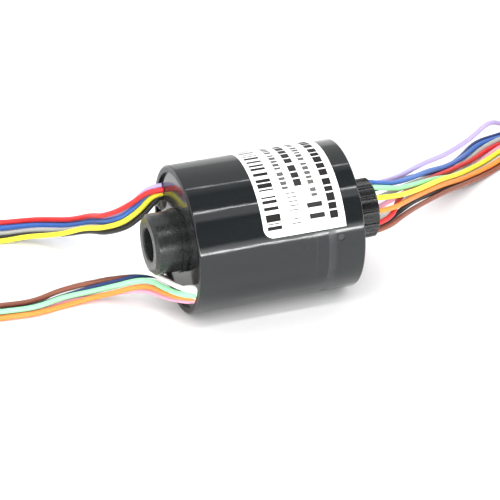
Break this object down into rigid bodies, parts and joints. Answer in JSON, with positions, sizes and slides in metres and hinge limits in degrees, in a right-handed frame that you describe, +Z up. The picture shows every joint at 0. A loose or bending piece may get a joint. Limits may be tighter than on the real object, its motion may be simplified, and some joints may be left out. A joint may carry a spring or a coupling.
{
  "type": "slip ring",
  "caption": "Small dark grey capsule slip ring lying on its side, with a white label, a bored black rotor shaft, a ribbed black rear sleeve and coloured leads at both ends.",
  "frame": {"origin": "on the rotor's axis, midway along the housing tube; the table is 11 mm below", "axes": "+X along the rotor from its bored end at the lead exits towards the ribbed sleeve, +Z up"},
  "size_m": [0.1427, 0.0467, 0.0223],
  "materials": {
    "housing": "glossy near-black plastic tube with thin highlights along the axis",
    "cover": "dark glossy plate that mirrors the leads",
    "label": "white printed film, print shown as plain bars and blocks",
    "steel": "bright turned steel",
    "black_plastic": "black plastic with a soft sheen",
    "barrel": "dark blue insulating plastic",
    "gold": "gold plated contact metal",
    "board": "green circuit board",
    "silicone": "white sealing silicone",
    "lead_red": "red wire insulation, slightly glossy",
    "lead_blue": "blue wire insulation, slightly glossy",
    "lead_grey": "grey wire insulation, slightly glossy",
    "lead_yellow": "yellow wire insulation, slightly glossy",
    "lead_black": "black wire insulation, slightly glossy",
    "lead_violet": "violet wire insulation, slightly glossy",
    "lead_white": "white wire insulation, slightly glossy",
    "lead_navy": "navy wire insulation, slightly glossy",
    "lead_brown": "brown wire insulation, slightly glossy",
    "lead_pink": "pink wire insulation, slightly glossy",
    "lead_orange": "orange wire insulation, slightly glossy",
    "lead_green": "green wire insulation, slightly glossy"
  },
  "bodies": {
    "stator": {"housing": "housing", "front_cover": "cover", "rear_cover": "black_plastic", "cover_pins": "black_plastic", "label": "label", "front_bearing_outer": "steel", "rear_bearing_outer": "steel", "upper_board": "board", "lower_board": "board", "upper_holder": "black_plastic", "lower_holder": "black_plastic", "upper_brushes": "gold", "lower_brushes": "gold", "upper_seal": "black_plastic", "lower_seal": "silicone", "upper_red_lead": "lead_red", "upper_blue_lead": "lead_blue", "upper_grey_lead": "lead_grey", "upper_yellow_lead": "lead_yellow", "upper_black_lead": "lead_black", "upper_violet_lead": "lead_violet", "lower_white_lead": "lead_white", "lower_navy_lead": "lead_navy", "lower_brown_lead": "lead_brown", "lower_pink_lead": "lead_pink", "lower_orange_lead": "lead_orange", "lower_green_lead": "lead_green", "rear_red_lead": "lead_red", "rear_blue_lead": "lead_blue", "rear_grey_lead": "lead_grey", "rear_yellow_lead": "lead_yellow", "rear_black_lead": "lead_black", "rear_violet_lead": "lead_violet", "rear_white_lead": "lead_white", "rear_navy_lead": "lead_navy", "rear_brown_lead": "lead_brown", "rear_pink_lead": "lead_pink", "rear_orange_lead": "lead_orange", "rear_green_lead": "lead_green", "upper_coil": "lead_grey", "lower_coil": "lead_grey", "rear_coil": "lead_grey", "upper_tie": "black_plastic", "lower_tie": "black_plastic", "rear_tie": "black_plastic"},
    "rotor": {"rotor_shaft": "black_plastic", "retaining_ring": "steel", "insulator_barrel": "barrel", "contact_rings": "gold", "rotor_leads": "gold", "rear_sleeve": "black_plastic", "front_bearing_inner": "steel", "rear_bearing_inner": "steel"},
    "front_ball_set": {"front_balls": "steel", "front_cage": "black_plastic"},
    "rear_ball_set": {"rear_balls": "steel", "rear_cage": "black_plastic"}
  },
  "joints": [
    {"name": "rotor_spin", "type": "hinge", "parent": "stator", "child": "rotor", "pos_m": [0, 0, 0], "axis": [1, 0, 0], "continuous": true},
    {"name": "front_ball_spin", "type": "hinge", "parent": "stator", "child": "front_ball_set", "pos_m": [0, 0, 0], "axis": [1, 0, 0], "continuous": true},
    {"name": "rear_ball_spin", "type": "hinge", "parent": "stator", "child": "rear_ball_set", "pos_m": [0, 0, 0], "axis": [1, 0, 0], "continuous": true}
  ],
  "couplings": [
    {"joint": "front_ball_spin", "follows": "rotor_spin", "ratio": 0.4304},
    {"joint": "rear_ball_spin", "follows": "rotor_spin", "ratio": 0.4304}
  ]
}
